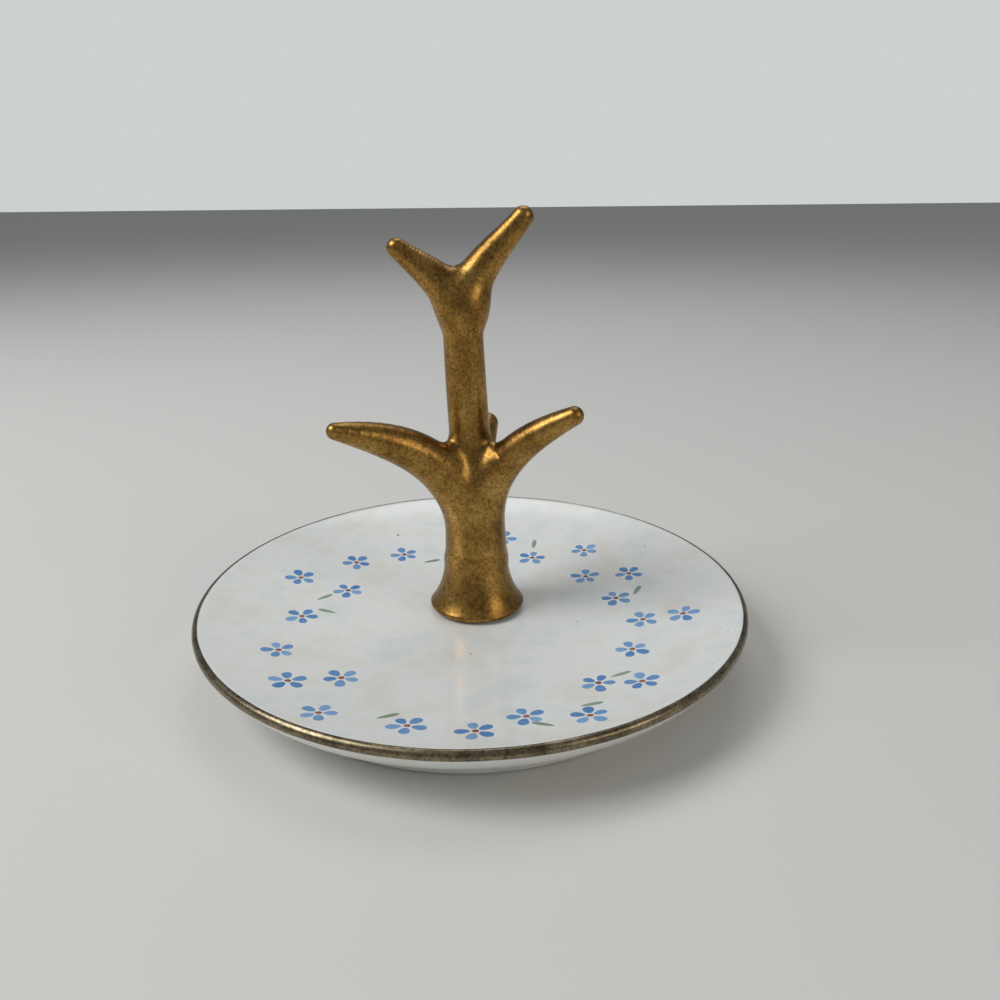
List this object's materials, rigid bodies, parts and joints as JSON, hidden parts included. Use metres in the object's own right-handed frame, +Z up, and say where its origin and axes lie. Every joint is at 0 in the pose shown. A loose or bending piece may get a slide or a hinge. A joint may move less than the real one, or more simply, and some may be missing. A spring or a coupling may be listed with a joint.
{
  "type": "ring dish",
  "caption": "Footed white porcelain ring dish with a gilded lip and a gilded branching tree that holds rings",
  "frame": {"origin": "middle of the foot ring's underside, on the table", "axes": "+X to the right of the dish, +Y to its back, +Z up"},
  "size_m": [0.09, 0.09, 0.0709],
  "materials": {
    "glazed_porcelain": "gloss white glaze",
    "worn_gilding": "thin worn gold line, satin",
    "fired_slip": "matt fired slip",
    "gilded_porcelain": "antique gold, satin, mottled"
  },
  "bodies": {
    "root": {"dish": "glazed_porcelain", "rim_gilding": "worn_gilding", "luting_slip": "fired_slip", "trunk": "gilded_porcelain", "left_branch": "gilded_porcelain", "right_branch": "gilded_porcelain", "rear_branch": "gilded_porcelain", "left_prong": "gilded_porcelain", "right_prong": "gilded_porcelain"}
  },
  "joints": []
}
